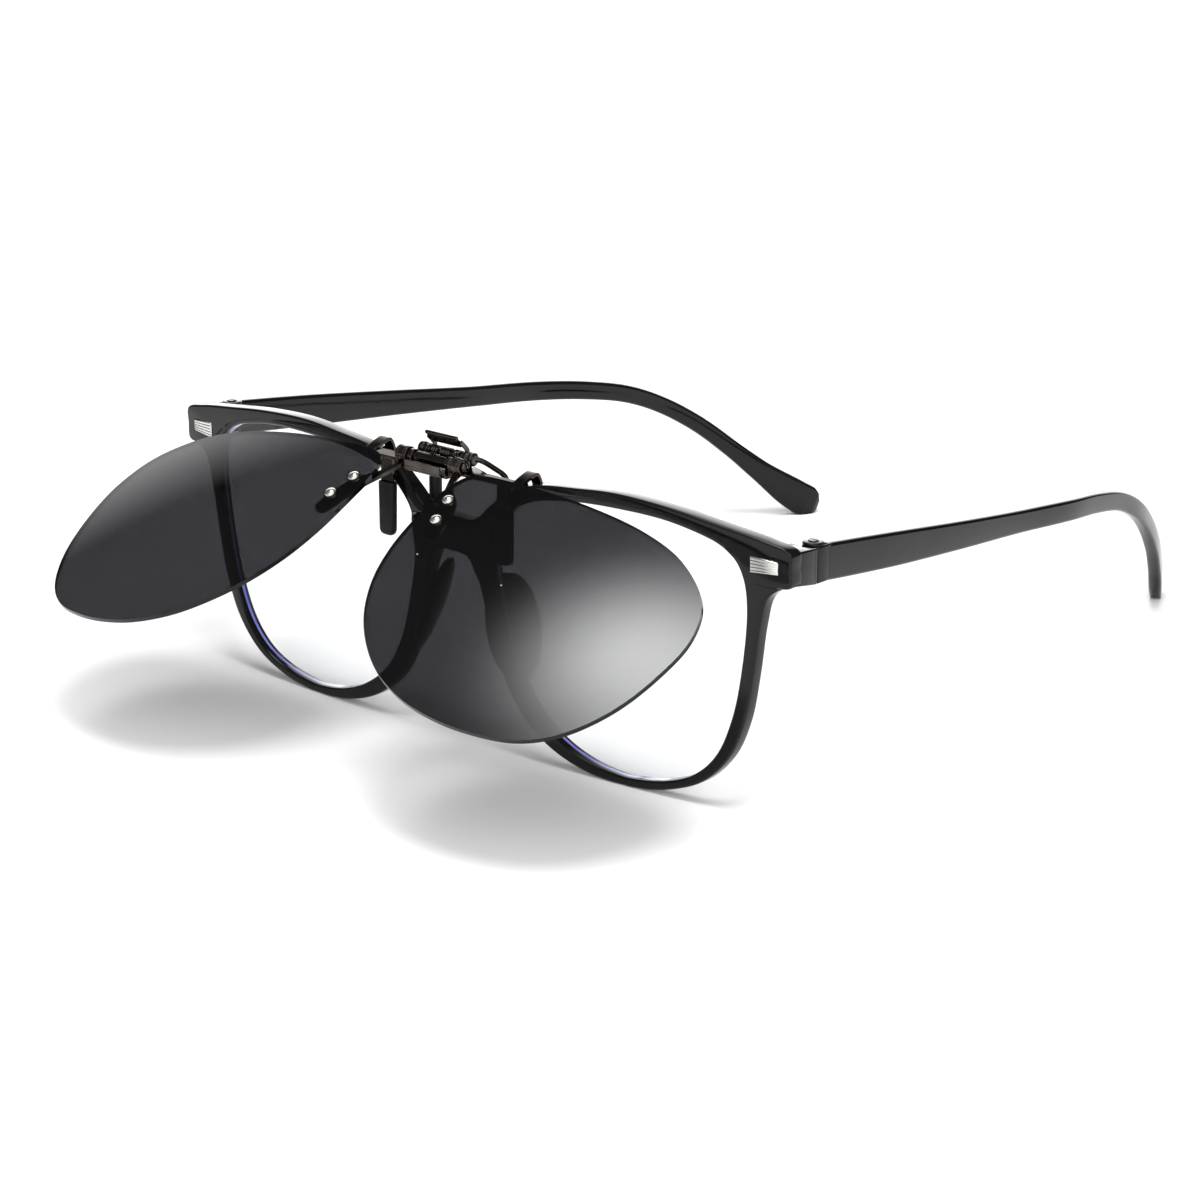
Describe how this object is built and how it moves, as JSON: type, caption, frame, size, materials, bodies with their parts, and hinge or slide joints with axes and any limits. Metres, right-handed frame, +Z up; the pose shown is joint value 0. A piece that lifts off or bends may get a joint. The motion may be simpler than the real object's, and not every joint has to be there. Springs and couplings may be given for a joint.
{
  "type": "flip-up clip-on sunglasses",
  "caption": "Flip-up clip-on sunglasses clamped over the bridge of full-rim spectacles with folding temples.",
  "frame": {"origin": "on the surface the rims and temple tips stand on, below the middle of the bounding box", "axes": "+X towards the wearer's left seen from the front (the right of a front view), +Y from the front back to the temple tips, +Z up"},
  "size_m": [0.1422, 0.2058, 0.0565],
  "materials": {
    "black_plastic": "polished moulded black plastic with fine wear on the edges",
    "clear_lens": "clear lens with a faint blue reflection coating",
    "tinted_lens": "dark grey polished plastic sun lens",
    "gunmetal": "bright black-nickel plated sheet and wire",
    "silver": "bright nickel plate",
    "screw_steel": "blackened steel screw",
    "black_rubber": "matte black soft sleeve"
  },
  "bodies": {
    "spectacles_front": {"front_frame": "black_plastic", "clear_lens_left": "clear_lens", "clear_lens_right": "clear_lens", "corner_plaque_left": "silver", "corner_plaque_right": "silver", "hinge_screw_left": "screw_steel", "hinge_screw_right": "screw_steel"},
    "left_temple": {"temple_left": "black_plastic"},
    "right_temple": {"temple_right": "black_plastic"},
    "clip_body": {"clip_base": "gunmetal", "front_sleeve_left": "black_rubber", "front_sleeve_right": "black_rubber", "torsion_spring_left": "gunmetal", "torsion_spring_right": "gunmetal"},
    "flip_lenses": {"flip_shaft": "gunmetal", "lens_bracket_left": "gunmetal", "lens_bracket_right": "gunmetal", "tinted_lens_left": "tinted_lens", "tinted_lens_right": "tinted_lens", "rivet_upper_left": "silver", "rivet_upper_right": "silver", "rivet_lower_left": "silver", "rivet_lower_right": "silver"},
    "clamp_claws": {"pinch_lever": "gunmetal", "claw_wire": "gunmetal", "rear_sleeve_left": "black_rubber", "rear_sleeve_right": "black_rubber"}
  },
  "joints": [
    {"name": "temple_right_fold", "type": "hinge", "parent": "spectacles_front", "child": "right_temple", "pos_m": [0.0685, -0.0437, 0.044], "axis": [0, 0, 1], "range_deg": [0, 84]},
    {"name": "temple_left_fold", "type": "hinge", "parent": "spectacles_front", "child": "left_temple", "pos_m": [-0.0685, -0.0437, 0.044], "axis": [0, 0, -1], "range_deg": [0, 79]},
    {"name": "clip_lift", "type": "slide", "parent": "spectacles_front", "child": "clip_body", "axis": [0, 0, 1], "range_m": [0, 0.025]},
    {"name": "lens_flip", "type": "hinge", "parent": "clip_body", "child": "flip_lenses", "pos_m": [0, -0.0618, 0.0522], "axis": [-1, 0, 0], "range_deg": [-60.6, 29.4]},
    {"name": "clamp_pinch", "type": "hinge", "parent": "clip_body", "child": "clamp_claws", "pos_m": [0, -0.0578, 0.0525], "axis": [1, 0, 0], "range_deg": [0, 12], "stiffness_Nm_per_rad": 0.05, "springref_deg": -8.59}
  ]
}
